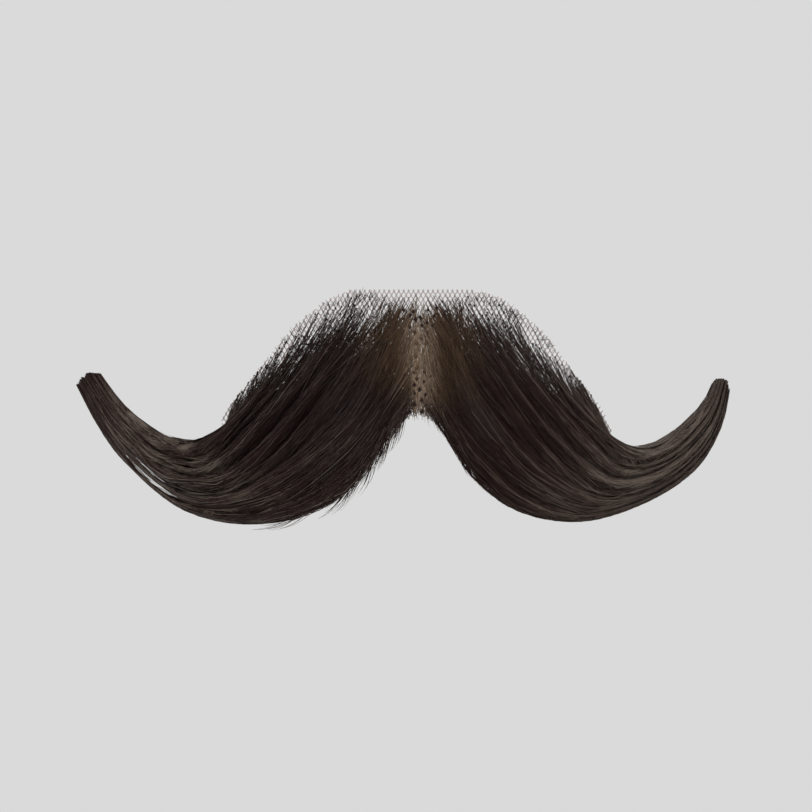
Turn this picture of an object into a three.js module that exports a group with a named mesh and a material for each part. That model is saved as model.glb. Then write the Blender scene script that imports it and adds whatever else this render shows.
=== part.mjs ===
import * as THREE from "three";

// A hand-knotted handlebar moustache: dark hair in two swept wings and a thin patch between them,
// all knotted on one piece of lace that is bent round the upper lip.
// Millimetres. The front faces -Y and up is +Z, and left and right are as seen from the front.
// The origin is on the back of the lace, at the lower end of the parting between the wings.

// Overall sizes
const LEFT_REACH = 48.6; // from the parting to the left tip, seen from the front
const RIGHT_REACH = 44.5; // from the parting to the right tip
const HAIR_RISE = 16.3; // top of the hairline above the origin
const HAIR_DROP = 16.1; // lowest hair below the origin
const LIP_RADIUS = 42; // bend of the lip at the middle, seen from above
const CHEEK_ANGLE = THREE.MathUtils.degToRad(33); // how far the tips turn back, seen from above
const LIP_LEAN = THREE.MathUtils.degToRad(6); // the lip comes forward towards the mouth

// Lace
const LACE_WALL = 1.0;
const LACE_MARGIN = 0.9; // bare lace above the hairline
const LACE_RUN = 0.28; // how far under the hair the lace goes, as a share of the way to the tip
const LACE_INSET = 0.16; // how far its lower edge stays inside the hair, as a share of the wing's breadth
const LACE_CENTRE_SHARE = 0.3; // share of each half's stations that lie beside the parting
const SEAT_GAP = 0.3; // between the lace and the hair, and between neighbouring hair pieces
const HAIR_SEAT = LACE_WALL + SEAT_GAP;

// Hair
const HAIR_DEPTH = 5.8; // thickest hair in front of the lace
const EDGE_SHARE = 0.5; // depth at the wing's edges, as a share of the depth at its crown
const HOLLOW_BACK = 0.22; // how far the back comes forward at the edges, as a share of the depth
const LOCKS_PER_WING = 8;
const LOCK_GROOVE = 0.66; // height between two locks, as a share of their crests
const LOCK_STEP = 0.22; // how far crests stand back by turns, as a share of the depth
const LOCK_TURN = 2.4; // radians that each lock is out of step with its neighbour
const LOCK_WANDER = 0.35; // how far the line between two locks strays, as a share of a lock's breadth
const TIP_STAGGER = 0.012; // shortest lock's shortfall at the tip, as a share of the wing's length
const CENTRE_DEPTH = 1.5; // short hair beside the parting
const CENTRE_TOP = 0.34; // its top and its lower end, as places along the wings' root line
const CENTRE_LOW = 0.06;
const CENTRE_LOCKS = 5;

// Fineness of the faceted surfaces
const LOCK_FACETS = 3; // across each lock
const BACK_FACETS = 6;
const WING_STATIONS = 24;
const CENTRE_STATIONS = 8;
const LACE_STATIONS = 10;
const LACE_ACROSS = 4;

const HAIR_HEIGHT = HAIR_RISE + HAIR_DROP;

// Sections of each wing from the root line to the cut tip. A section is an arch through three points: the
// inner one on the lower edge, the crown in the middle and the outer one on the upper edge. Each point is
// [out, up], as shares of the wing's reach and of the hair's height, and depth is a share of HAIR_DEPTH.
const LEFT_SECTIONS = [
  { inner: [0.012, 0.506], crown: [0.16, 1.0], outer: [0.548, 0.508], depth: 0.2 },
  { inner: [0.075, 0.398], crown: [0.235, 0.812], outer: [0.565, 0.421], depth: 0.6 },
  { inner: [0.169, 0.194], crown: [0.342, 0.577], outer: [0.599, 0.369], depth: 0.88 },
  { inner: [0.321, 0.04], crown: [0.461, 0.361], outer: [0.646, 0.361], depth: 1.0 },
  { inner: [0.519, 0.0], crown: [0.58, 0.213], outer: [0.7, 0.371], depth: 0.96 },
  { inner: [0.7, 0.068], crown: [0.716, 0.222], outer: [0.765, 0.401], depth: 0.8 },
  { inner: [0.85, 0.246], crown: [0.829, 0.345], outer: [0.834, 0.473], depth: 0.64 },
  { inner: [0.94, 0.432], crown: [0.911, 0.49], outer: [0.891, 0.56], depth: 0.52 },
  { inner: [1.0, 0.597], crown: [0.974, 0.638], outer: [0.946, 0.674], depth: 0.42 },
];
const RIGHT_SECTIONS = [
  { inner: [0.014, 0.506], crown: [0.175, 0.991], outer: [0.576, 0.506], depth: 0.2 },
  { inner: [0.077, 0.41], crown: [0.247, 0.799], outer: [0.605, 0.408], depth: 0.6 },
  { inner: [0.175, 0.207], crown: [0.36, 0.559], outer: [0.638, 0.336], depth: 0.88 },
  { inner: [0.319, 0.059], crown: [0.486, 0.343], outer: [0.688, 0.323], depth: 1.0 },
  { inner: [0.512, 0.009], crown: [0.611, 0.199], outer: [0.752, 0.349], depth: 0.96 },
  { inner: [0.712, 0.083], crown: [0.746, 0.224], outer: [0.823, 0.403], depth: 0.8 },
  { inner: [0.883, 0.23], crown: [0.867, 0.338], outer: [0.885, 0.478], depth: 0.64 },
  { inner: [0.965, 0.412], crown: [0.942, 0.477], outer: [0.929, 0.552], depth: 0.52 },
  { inner: [1.0, 0.608], crown: [0.978, 0.632], outer: [0.957, 0.64], depth: 0.38 },
];

const LEFT_WING = makeWing(-1, LEFT_REACH, LEFT_SECTIONS);
const RIGHT_WING = makeWing(1, RIGHT_REACH, RIGHT_SECTIONS);

/** A wing's side and its three guide lines, from the root line to the tip. */
function makeWing(side, reach, sections) {
  const guide = (column) => {
    const points = sections.map((row) => {
      const [out, up] = row[column];
      return new THREE.Vector3(out * reach, up * HAIR_HEIGHT - HAIR_DROP, row.depth);
    });
    return new THREE.CatmullRomCurve3(points, false, "catmullrom");
  };
  return { side, inner: guide("inner"), crown: guide("crown"), outer: guide("outer") };
}

/** A point of the wing seen from the front: x is out from the parting, y is up, z the depth share. */
function flowPoint(wing, across, along) {
  const inner = wing.inner.getPoint(along);
  const crown = wing.crown.getPoint(along);
  const outer = wing.outer.getPoint(along);
  return inner
    .multiplyScalar((1 - across) * (1 - 2 * across))
    .addScaledVector(crown, 4 * across * (1 - across))
    .addScaledVector(outer, across * (2 * across - 1));
}

/** A point that stands proud of the lip. The plan of the lip is a hyperbola, round at the parting and nearly
 * straight over the cheeks, and its face leans. What stands as far out as seen is at x from the front. */
function onLip(x, up, proud, seen) {
  const bend = Math.tan(CHEEK_ANGLE) ** 2;
  const waist = LIP_RADIUS * bend;
  const slopeAt = (place) => (bend * place) / Math.sqrt(waist ** 2 + bend * place ** 2);
  const foot = x - (seen * slopeAt(x)) / Math.hypot(slopeAt(x), 1);
  const slope = slopeAt(foot);
  const length = Math.hypot(slope, 1);
  const back = Math.sqrt(waist ** 2 + bend * foot ** 2) - waist;
  return new THREE.Vector3(
    foot + (proud * slope) / length,
    back + up * Math.tan(LIP_LEAN) - proud / length,
    up,
  );
}

/** Even shares from 0 to 1. */
function shares(count) {
  return Array.from({ length: count + 1 }, (_, k) => k / count);
}

/** One closed body from rings of equal length, each a list of points, with a fan over each end. */
function closedTube(rings) {
  const sides = rings[0].length;
  const middles = [rings[0], rings.at(-1)].map((ring) =>
    ring.reduce((sum, point) => sum.add(point), new THREE.Vector3()).divideScalar(sides),
  );
  const points = [...rings.flat(), ...middles];
  const [first, last] = [points.length - 2, points.length - 1];
  const lastRing = (rings.length - 1) * sides;
  const faces = [];
  for (let side = 0; side < sides; side++) {
    const next = (side + 1) % sides;
    for (let ring = 0; ring < rings.length - 1; ring++) {
      const near = ring * sides;
      const far = near + sides;
      faces.push(near + side, far + next, near + next, near + side, far + side, far + next);
    }
    faces.push(first, side, next, last, lastRing + next, lastRing + side);
  }
  return new THREE.BufferGeometry().setFromPoints(points).setIndex(faces);
}

/** Where the line between two locks runs: even at the root and the tip, and straying in between. */
function lockLine(number, locks, along) {
  const even = number / locks;
  if (number === 0 || number === locks) return even;
  const stray = (LOCK_WANDER / locks) * Math.sin(Math.PI * along);
  return even + stray * Math.sin(2 * Math.PI * along + LOCK_TURN * number);
}

/** How far a lock stands back from the fullest, from 0 to 1. */
function lockTurn(number, along) {
  return 0.5 + 0.5 * Math.cos(LOCK_TURN * number + Math.PI * along);
}

/** The points across a row of locks: place across, height as a share of the depth, and how far along. */
function lockRow(locks, along) {
  return shares(locks * LOCK_FACETS).map((_, k) => {
    const number = Math.min(Math.floor(k / LOCK_FACETS), locks - 1);
    const share = k / LOCK_FACETS - number;
    const before = share === 0 && number > 0 ? number - 1 : number;
    const turn = (lockTurn(before, along) + lockTurn(number, along)) / 2;
    const end = 1 - (TIP_STAGGER * (lockTurn(before, 0) + lockTurn(number, 0))) / 2;
    return {
      across: THREE.MathUtils.lerp(lockLine(number, locks, along), lockLine(number + 1, locks, along), share),
      height: (1 - LOCK_STEP * turn) * THREE.MathUtils.lerp(LOCK_GROOVE, 1, Math.sin(Math.PI * share)),
      along: along * end,
    };
  });
}

/** Locks side by side on a closed backing, as one body. pointAt(across, along, height) places each point. */
function lockBody(locks, alongs, pointAt) {
  const rings = alongs.map((along) => {
    const front = lockRow(locks, along).map((row) => pointAt(row.across, row.along, row.height));
    const back = shares(BACK_FACETS).map((share) => pointAt(1 - share, along * (1 - TIP_STAGGER / 2), 0));
    return [...front, ...back];
  });
  return closedTube(rings);
}

/** Faces turned round, for a body whose rings were made in mirror image. */
function turned(geometry) {
  return geometry.setIndex(Array.from(geometry.index.array).reverse());
}

/** A whole wing: locks from the root line to the cut tip, full at its crown and thinner at both edges. */
function wingHair(wing) {
  const body = lockBody(LOCKS_PER_WING, shares(WING_STATIONS), (across, along, height) => {
    const point = flowPoint(wing, across, along);
    const crowned = Math.sin(Math.PI * across);
    const depth = HAIR_DEPTH * point.z * THREE.MathUtils.lerp(EDGE_SHARE, 1, crowned);
    const back = depth * HOLLOW_BACK * (1 - crowned);
    const proud = HAIR_SEAT + Math.max(back, height * depth);
    return onLip(wing.side * point.x, point.y, proud, HAIR_SEAT + depth / 2);
  });
  return wing.side > 0 ? body : turned(body);
}

/** The short hair beside the parting: thin locks that hang between the wings' root lines. */
function centreHair() {
  return lockBody(CENTRE_LOCKS, shares(CENTRE_STATIONS), (across, along, height) => {
    const place = THREE.MathUtils.lerp(CENTRE_TOP, CENTRE_LOW, along);
    const left = flowPoint(LEFT_WING, place, 0);
    const right = flowPoint(RIGHT_WING, place, 0);
    const x = THREE.MathUtils.lerp(SEAT_GAP - left.x, right.x - SEAT_GAP, across);
    const up = THREE.MathUtils.lerp(left.y, right.y, across);
    return onLip(x, up, HAIR_SEAT + height * CENTRE_DEPTH, HAIR_SEAT);
  });
}

/** A station of one half of the lace, from the parting at 0 to its outer end at 1: [top, bottom]. */
function laceStation(wing, place) {
  const crown = flowPoint(wing, 0.5, 0);
  const apex = new THREE.Vector3(0, flowPoint(wing, 0, 0).y - LACE_MARGIN, 0);
  const lowTurn = flowPoint(wing, LACE_INSET, LACE_RUN);
  if (place <= LACE_CENTRE_SHARE) {
    const share = place / LACE_CENTRE_SHARE;
    const middleTop = (flowPoint(LEFT_WING, 0.5, 0).y + flowPoint(RIGHT_WING, 0.5, 0).y) / 2;
    const top = new THREE.Vector3(0, middleTop, 0).lerp(crown, share);
    return [top.setY(top.y + LACE_MARGIN), apex.lerp(lowTurn, share)];
  }
  const share = (place - LACE_CENTRE_SHARE) / (1 - LACE_CENTRE_SHARE);
  const across = 0.5 + 0.5 * share;
  const top = flowPoint(wing, across, 0);
  const before = flowPoint(wing, across - 0.01, 0);
  const outward = new THREE.Vector3(before.y - top.y, top.x - before.x, 0).normalize();
  const bottom = flowPoint(wing, THREE.MathUtils.lerp(LACE_INSET, 1, share), LACE_RUN);
  return [top.addScaledVector(outward, LACE_MARGIN), bottom];
}

/** The lace: one bent sheet from the left end to the right end. */
function laceSheet() {
  const ringAt = (wing, place) => {
    const [top, bottom] = laceStation(wing, place);
    const at = (share, proud) => {
      const point = bottom.clone().lerp(top, share);
      return onLip(wing.side * point.x, point.y, proud, LACE_WALL);
    };
    const places = shares(LACE_ACROSS);
    const front = places.map((share) => at(share, LACE_WALL));
    return [...front, ...places.map((share) => at(1 - share, 0))];
  };
  const outwards = shares(LACE_STATIONS);
  const left = outwards.slice(1).reverse().map((place) => ringAt(LEFT_WING, place));
  return closedTube([...left, ...outwards.map((place) => ringAt(RIGHT_WING, place))]);
}

/** A named piece with its own colour and gloss. */
function piece(name, geometry, color, roughness) {
  geometry.computeVertexNormals();
  const mesh = new THREE.Mesh(geometry, new THREE.MeshStandardMaterial({ color, roughness, metalness: 0 }));
  mesh.name = name;
  return mesh;
}

const moustache = new THREE.Group();
moustache.name = "moustache";
moustache.add(
  piece("lace_base", laceSheet(), 0xb9a598, 0.8),
  piece("hair_wing_left", wingHair(LEFT_WING), 0x241a17, 0.5),
  piece("hair_wing_right", wingHair(RIGHT_WING), 0x241a17, 0.5),
  piece("centre_hair", centreHair(), 0x43331f, 0.55),
);

export default moustache;
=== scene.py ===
import math

import bpy
import numpy as np
from bpy.props import FloatProperty, FloatVectorProperty, IntProperty, PointerProperty
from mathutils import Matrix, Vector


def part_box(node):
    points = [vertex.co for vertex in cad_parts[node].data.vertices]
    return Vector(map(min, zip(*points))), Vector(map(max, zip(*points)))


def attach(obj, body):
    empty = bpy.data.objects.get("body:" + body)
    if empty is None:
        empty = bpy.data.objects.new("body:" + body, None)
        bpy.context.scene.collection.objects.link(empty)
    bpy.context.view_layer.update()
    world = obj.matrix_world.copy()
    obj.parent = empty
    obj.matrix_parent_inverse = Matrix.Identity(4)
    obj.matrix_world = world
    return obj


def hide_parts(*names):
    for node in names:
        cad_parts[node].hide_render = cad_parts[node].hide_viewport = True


bl_info = {
    "name": "Hand-knotted moustache",
    "version": (1, 0, 0),
    "blender": (4, 5, 0),
    "location": "3D View > Sidebar > Moustache",
    "description": "Dresses a lace-backed handlebar moustache with net, knots and combed hair",
    "category": "Object",
}

# All lengths are metres. The front faces -Y, up is +Z, and x = 0 is the parting.
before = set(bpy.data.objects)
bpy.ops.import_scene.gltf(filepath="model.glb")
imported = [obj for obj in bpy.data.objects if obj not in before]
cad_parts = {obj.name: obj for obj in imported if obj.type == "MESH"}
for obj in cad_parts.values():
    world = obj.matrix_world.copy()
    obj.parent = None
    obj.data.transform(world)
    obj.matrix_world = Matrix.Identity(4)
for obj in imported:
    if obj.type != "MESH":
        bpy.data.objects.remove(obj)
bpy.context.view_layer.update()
LEFT_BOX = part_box("hair_wing_left")
RIGHT_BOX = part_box("hair_wing_right")
HAIR_TOP = max(LEFT_BOX[1].z, RIGHT_BOX[1].z)
HAIR_LOW = min(LEFT_BOX[0].z, RIGHT_BOX[0].z)
BODY = "root"
MM = 0.001
# The parting is a line that starts at the foot's x and leans to the left with height. The hair beside it is
# brownest at the brown height.
BROWN_HEIGHT = 8 * MM
PARTING_FOOT = 0.8 * MM
PARTING_LEAN = 0.066

# Sections of each wing from the root line to the cut tip. A row is the inner, crown and outer point, each
# as a share of the wing's reach and of the hair's height, and then the depth as a share of the fullest.
LEFT_SECTIONS = np.array([
    [0.012, 0.506, 0.160, 1.000, 0.548, 0.508, 0.20],
    [0.075, 0.398, 0.235, 0.812, 0.565, 0.421, 0.60],
    [0.169, 0.194, 0.342, 0.577, 0.599, 0.369, 0.88],
    [0.321, 0.040, 0.461, 0.361, 0.646, 0.361, 1.00],
    [0.519, 0.000, 0.580, 0.213, 0.700, 0.371, 0.96],
    [0.700, 0.068, 0.716, 0.222, 0.765, 0.401, 0.80],
    [0.850, 0.246, 0.829, 0.345, 0.834, 0.473, 0.64],
    [0.940, 0.432, 0.911, 0.490, 0.891, 0.560, 0.52],
    [1.000, 0.597, 0.974, 0.638, 0.946, 0.674, 0.42],
])
RIGHT_SECTIONS = np.array([
    [0.014, 0.506, 0.175, 0.991, 0.576, 0.506, 0.20],
    [0.077, 0.410, 0.247, 0.799, 0.605, 0.408, 0.60],
    [0.175, 0.207, 0.360, 0.559, 0.638, 0.336, 0.88],
    [0.319, 0.059, 0.486, 0.343, 0.688, 0.323, 1.00],
    [0.512, 0.009, 0.611, 0.199, 0.752, 0.349, 0.96],
    [0.712, 0.083, 0.746, 0.224, 0.823, 0.403, 0.80],
    [0.883, 0.230, 0.867, 0.338, 0.885, 0.478, 0.64],
    [0.965, 0.412, 0.942, 0.477, 0.929, 0.552, 0.52],
    [1.000, 0.608, 0.978, 0.632, 0.957, 0.640, 0.38],
])


class MoustacheSizes(bpy.types.PropertyGroup):
    left_reach: FloatProperty(
        name="Left reach", description="From the parting to the left tip",
        default=-LEFT_BOX[0].x, unit="LENGTH")
    right_reach: FloatProperty(
        name="Right reach", description="From the parting to the right tip",
        default=RIGHT_BOX[1].x, unit="LENGTH")
    lip_radius: FloatProperty(
        name="Lip radius", description="Bend of the lip at the parting, seen from above",
        default=42 * MM, unit="LENGTH")
    cheek_angle: FloatProperty(
        name="Cheek angle", description="How far the tips turn back, seen from above",
        default=math.radians(33), subtype="ANGLE")
    lip_lean: FloatProperty(
        name="Lip lean", description="How far the lip comes forward towards the mouth",
        default=math.radians(6), subtype="ANGLE")
    lace_wall: FloatProperty(
        name="Lace front", description="How far the lace's front stands out from the skin",
        default=1.0 * MM, unit="LENGTH")
    hair_seat: FloatProperty(
        name="Hair seat", description="How far the back of the combed hair stands out from the skin",
        default=1.3 * MM, unit="LENGTH")
    hair_depth: FloatProperty(
        name="Hair depth", description="Thickest hair, from its back to its front",
        default=5.8 * MM, unit="LENGTH")
    thread: FloatProperty(
        name="Lace thread", description="Thickness of a thread of the lace",
        default=0.15 * MM, unit="LENGTH")
    mesh_side: FloatProperty(
        name="Lace mesh side", description="Length of a side of a six-sided hole of the lace",
        default=0.40 * MM, unit="LENGTH")
    hair: FloatProperty(
        name="Hair thickness", description="Thickness of a hair",
        default=0.11 * MM, unit="LENGTH")
    hairs: IntProperty(
        name="Hairs in a layer", description="Long hairs in the over layer of each wing", default=2100)
    view_width: FloatProperty(
        name="View width", description="Width of the picture at the moustache",
        default=115 * MM, unit="LENGTH")
    view_distance: FloatProperty(
        name="View distance", description="From the camera to the moustache", default=1.5, unit="LENGTH")


class MoustacheColours(bpy.types.PropertyGroup):
    hair_dark: FloatVectorProperty(
        name="Dark hair", description="Most of the hair", subtype="COLOR", size=3,
        default=(0.0112, 0.0056, 0.0050))
    # Lighter hair. The painted highlights and the painted tip light also lift the hair towards this colour.
    hair_light: FloatVectorProperty(
        name="Lighter hair", description="The lightest single hairs", subtype="COLOR", size=3,
        default=(0.088, 0.070, 0.058))
    hair_brown: FloatVectorProperty(
        name="Brown hair", description="Hair beside the parting", subtype="COLOR", size=3,
        default=(0.056, 0.034, 0.020))
    hair_tan: FloatVectorProperty(
        name="Tan hair", description="The lightest thin hair beside the parting", subtype="COLOR", size=3,
        default=(0.150, 0.108, 0.078))
    lace: FloatVectorProperty(
        name="Lace", description="Threads of the lace", subtype="COLOR", size=3,
        default=(0.20, 0.148, 0.142))
    floor: FloatVectorProperty(
        name="Floor", description="Plain pale floor", subtype="COLOR", size=3,
        default=(0.72, 0.72, 0.72))
    backdrop: FloatVectorProperty(
        name="Background", description="Plain light round the moustache", subtype="COLOR", size=3,
        default=(0.70, 0.70, 0.70))


def smooth(value):
    """A step that eases from 0 to 1 as value goes from 0 to 1: 3v^2 - 2v^3."""
    value = np.clip(value, 0, 1)
    return value * value * (3 - 2 * value)


def lerp(a, b, share):
    """The place between a and b at that share of the way."""
    return a + (b - a) * share


def curve_through(rows, along):
    """Smooth curve through the rows: each span is a cubic whose slope at a row is half the step between the
    rows on either side of it, and an end row's missing neighbour is its mirror image. The first and last
    cubic run on a little beyond the rows."""
    spans = len(rows) - 1
    ends = [2 * rows[:1] - rows[1:2], rows, 2 * rows[-1:] - rows[-2:-1]]
    padded = np.concatenate(ends)
    place = along * spans
    span = np.clip(np.floor(place).astype(int), 0, spans - 1)
    s = (place - span)[..., None]
    before, start, end, after = (padded[span + k] for k in range(4))
    leave, arrive = (end - before) / 2, (after - start) / 2
    bend = 2 * start - 2 * end + leave + arrive
    turn = -3 * start + 3 * end - 2 * leave - arrive
    return ((bend * s + turn) * s + leave) * s + start


def flow(side, across, along):
    """Where hair runs, seen from the front: the parabola that meets the inner guide line at across 0, the
    crown at a half and the outer at 1, at that share of the way to the tip. Gives x, z and the depth there
    as a share of the fullest."""
    sizes = bpy.context.scene.moustache_sizes
    sections = LEFT_SECTIONS if side < 0 else RIGHT_SECTIONS
    reach = sizes.left_reach if side < 0 else sizes.right_reach
    across, along = np.broadcast_arrays(across, along)
    columns = np.moveaxis(curve_through(sections, along), -1, 0)
    inner_out, inner_up, crown_out, crown_up, outer_out, outer_up, depth = columns
    inner = (1 - across) * (1 - 2 * across)
    crown = 4 * across * (1 - across)
    outer = across * (2 * across - 1)
    out = inner * inner_out + crown * crown_out + outer * outer_out
    up = inner * inner_up + crown * crown_up + outer * outer_up
    return side * reach * out, HAIR_LOW + (HAIR_TOP - HAIR_LOW) * up, depth


def on_lip(x, up, proud, seen):
    """A point that stands proud of the lip. The lip's plan is the hyperbola y = sqrt(w^2 + b x^2) - w, which
    leans back with height, and proud is measured along its normal. What is as proud as seen lies at x."""
    sizes = bpy.context.scene.moustache_sizes
    bend = math.tan(sizes.cheek_angle) ** 2
    waist = sizes.lip_radius * bend
    first = bend * x / np.sqrt(waist**2 + bend * x**2)
    foot = x - seen * first / np.sqrt(first**2 + 1)
    root = np.sqrt(waist**2 + bend * foot**2)
    slope = bend * foot / root
    length = np.sqrt(slope**2 + 1)
    back = root - waist + up * math.tan(sizes.lip_lean)
    return np.stack(np.broadcast_arrays(foot + proud * slope / length, back - proud / length, up), axis=-1)


LOCKS = 8
LOCK_TURN = 2.4
LOCK_STEP = 0.22
LOCK_GROOVE = 0.66
LOCK_WANDER = 0.35
EDGE_SHARE = 0.5


def lock_height(across, along):
    """Height of the locks as a share of the depth. Eight round crests lie side by side between lines that
    stray by a sine, and each crest stands back by turns."""
    numbers = np.arange(LOCKS + 1)
    stray = np.where((numbers == 0) | (numbers == LOCKS), 0, LOCK_WANDER / LOCKS)
    across, along = np.broadcast_arrays(across, along)
    wave = np.sin(2 * math.pi * along[..., None] + LOCK_TURN * numbers)
    lines = numbers / LOCKS + stray * np.sin(math.pi * along[..., None]) * wave
    number = np.clip((across[..., None] >= lines[..., 1:-1]).sum(axis=-1), 0, LOCKS - 1)
    low = np.take_along_axis(lines, number[..., None], axis=-1)[..., 0]
    high = np.take_along_axis(lines, number[..., None] + 1, axis=-1)[..., 0]
    share = np.clip((across - low) / (high - low), 0, 1)
    turn = 0.5 + 0.5 * np.cos(LOCK_TURN * number + math.pi * along)
    return (1 - LOCK_STEP * turn) * lerp(LOCK_GROOVE, 1, np.sin(math.pi * share))


def hair_point(side, across, along, level):
    """A point in the hair: along the flow, and level of the way from the hair's back to its combed front."""
    sizes = bpy.context.scene.moustache_sizes
    x, up, share = flow(side, across, along)
    crowned = np.sin(math.pi * np.clip(across, 0, 1))
    depth = sizes.hair_depth * share * lerp(EDGE_SHARE, 1, crowned)
    height = lock_height(np.clip(across, 0, 1), along)
    proud = sizes.hair_seat + level * height * depth
    return on_lip(x, up, proud, sizes.hair_seat + depth / 2)


def add_piece(name, points, faces, material, uv, values=None):
    """A mesh object from whole arrays: points (n, 3), faces as index arrays (m, k), one UV for each corner,
    and a number for each point under each name in values."""
    mesh = bpy.data.meshes.new(name)
    corners = np.concatenate([face.ravel() for face in faces])
    sizes = np.concatenate([np.full(len(face), face.shape[1]) for face in faces])
    mesh.vertices.add(len(points))
    mesh.vertices.foreach_set("co", points.astype(np.float32).ravel())
    mesh.loops.add(len(corners))
    mesh.loops.foreach_set("vertex_index", corners.astype(np.int32))
    mesh.polygons.add(len(sizes))
    mesh.polygons.foreach_set("loop_start", (np.cumsum(sizes) - sizes).astype(np.int32))
    mesh.update(calc_edges=True)
    mesh.polygons.foreach_set("use_smooth", np.ones(len(sizes), bool))
    layer = mesh.uv_layers.new(name="OFBake")
    layer.uv.foreach_set("vector", uv.astype(np.float32).ravel())
    for key, numbers in (values or {}).items():
        attribute = mesh.attributes.new(key, "FLOAT", "POINT")
        attribute.data.foreach_set("value", numbers.astype(np.float32).ravel())
    mesh.materials.append(material)
    piece = bpy.data.objects.new(name, mesh)
    bpy.context.scene.collection.objects.link(piece)
    return piece


def unit(vectors):
    """The vectors at length 1."""
    return vectors / np.maximum(np.linalg.norm(vectors, axis=-1, keepdims=True), 1e-12)


HAIR_SIDES = 3
THREAD_SIDES = 4
UV_MARGIN = 0.06


def tubes(paths, radii, sides):
    """Closed tubes along paths (n, m, 3): ring point = path point + radius (cos a across + sin a out), with a
    going once round. Gives points, faces and corner UVs, with a cell of the UV square for each tube: its wall
    inside a margin, and its two caps in the margin's corner."""
    count, stations, _ = paths.shape
    tangent = unit(np.gradient(paths, axis=1))
    across = unit(np.cross(tangent, (0.0, -1.0, 0.0)))
    out = np.cross(across, tangent)
    angle = 2 * math.pi * (np.arange(sides) + 0.5) / sides
    ring = across[:, :, None] * np.cos(angle)[:, None] + out[:, :, None] * np.sin(angle)[:, None]
    points = paths[:, :, None] + ring * radii[:, :, None, None]
    index = np.arange(count * stations * sides).reshape(count, stations, sides)
    after = np.roll(index, -1, axis=2)
    walls = np.stack([index[:, :-1], index[:, 1:], after[:, 1:], after[:, :-1]], axis=-1)
    caps = np.stack([index[:, 0], index[:, -1, ::-1]], axis=1)
    grid = math.ceil(math.sqrt(count))
    cell = np.stack([np.arange(count) % grid, np.arange(count) // grid], axis=-1)
    round_it = np.arange(sides)[None, :, None] + np.array([0, 0, 1, 1])
    along = np.arange(stations - 1)[:, None, None] + np.array([0, 1, 1, 0])
    round_it, along = np.broadcast_arrays(round_it / sides, along / (stations - 1))
    wall_uv = UV_MARGIN + (1 - 2 * UV_MARGIN) * np.stack([round_it, along], axis=-1)
    wall_uv = cell[:, None, None, None] + wall_uv[None]
    cap_uv = UV_MARGIN / 2 + UV_MARGIN / 3 * np.stack([np.cos(angle), np.sin(angle)], axis=-1)
    cap_uv = cell[:, None, None] + np.broadcast_to(cap_uv, (count, 2, sides, 2))
    uv = np.concatenate([wall_uv.reshape(-1, 2), cap_uv.reshape(-1, 2)]) / grid
    return points.reshape(-1, 3), [walls.reshape(-1, 4), caps.reshape(-1, sides)], uv


ROOT_THICKNESS = 0.75
END_THICKNESS = 0.35


def hair_piece(name, paths, thickness, tone, material, end=END_THICKNESS):
    """Hairs along paths as one piece. The tone is a number for each hair or for each point of its path. A
    hair thickens by an eased step over its first fifth and thins by one over its last two fifths, and end is
    its thickness at its end as a share of its fullest."""
    stations = paths.shape[1]
    along = np.linspace(0, 1, stations)
    end = np.broadcast_to(end, len(paths))[:, None]
    profile = lerp(ROOT_THICKNESS, 1, smooth(along / 0.2)) * lerp(1, end, smooth((along - 0.6) / 0.4))
    radii = thickness[:, None] / 2 * profile
    points, faces, uv = tubes(paths, radii, HAIR_SIDES)
    rings = (*paths.shape[:2], HAIR_SIDES)
    tones = np.broadcast_to(tone.reshape(len(paths), -1, 1), rings)
    lengths = np.broadcast_to(along[None, :, None], rings)
    piece = add_piece(name, points, faces, material, uv, {"tone": tones, "length_share": lengths})
    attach(piece, BODY)
    return piece


KNOT_SIZE = 0.11 * MM
KNOT_SPREAD = 0.07 * MM
KNOT_TONE = 0.4


def knot_piece(name, places, material, draw, least=KNOT_SIZE):
    """A knot of hair at each place: the place plus its size, from the least to KNOT_SPREAD more, times the
    corners of an eight-sided double pyramid."""
    size = least + KNOT_SPREAD * draw.random(len(places))
    corners = np.array([(1, 0, 0), (0, 1, 0), (-1, 0, 0), (0, -1, 0), (0, 0, 1.3), (0, 0, -1.3)])
    sides = np.array([(0, 1, 4), (1, 2, 4), (2, 3, 4), (3, 0, 4), (1, 0, 5), (2, 1, 5), (3, 2, 5), (0, 3, 5)])
    points = places[:, None] + size[:, None, None] * corners
    faces = (len(corners) * np.arange(len(places)))[:, None, None] + sides
    cell = np.arange(len(sides) * len(places))
    grid = math.ceil(math.sqrt(len(cell)))
    cell = np.stack([cell % grid, cell // grid], axis=-1)[:, None]
    uv = (cell + np.array([(0.1, 0.1), (0.9, 0.1), (0.5, 0.9)])) / grid
    piece = add_piece(name, points.reshape(-1, 3), [faces.reshape(-1, 3)], material, uv.reshape(-1, 2),
                      {"tone": np.full(len(corners) * len(places), KNOT_TONE)})
    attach(piece, BODY)
    return piece


def node(tree, kind, **settings):
    """A new node of a material with its settings and, for names that are sockets, its values."""
    made = tree.nodes.new(kind)
    for key, value in settings.items():
        if hasattr(made, key):
            setattr(made, key, value)
        else:
            made.inputs[key.replace("_", " ")].default_value = value
    return made


def new_material(name, roughness):
    """An empty procedural material, its shader and its node tree."""
    material = bpy.data.materials.new(name)
    material.use_nodes = True
    tree = material.node_tree
    shader = tree.nodes["Principled BSDF"]
    shader.inputs["Roughness"].default_value = roughness
    return material, tree, shader


def rgba(colour):
    """A colour with full opacity."""
    return (*colour, 1.0)


def mix(tree, share, first, second):
    """Colour between two colours or colour sockets, at the share that a socket gives."""
    made = node(tree, "ShaderNodeMix", data_type="RGBA")
    tree.links.new(share, made.inputs[0])
    for value, socket in ((first, made.inputs[6]), (second, made.inputs[7])):
        if isinstance(value, bpy.types.NodeSocket):
            tree.links.new(value, socket)
        else:
            socket.default_value = rgba(value)
    return made.outputs[2]


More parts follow.
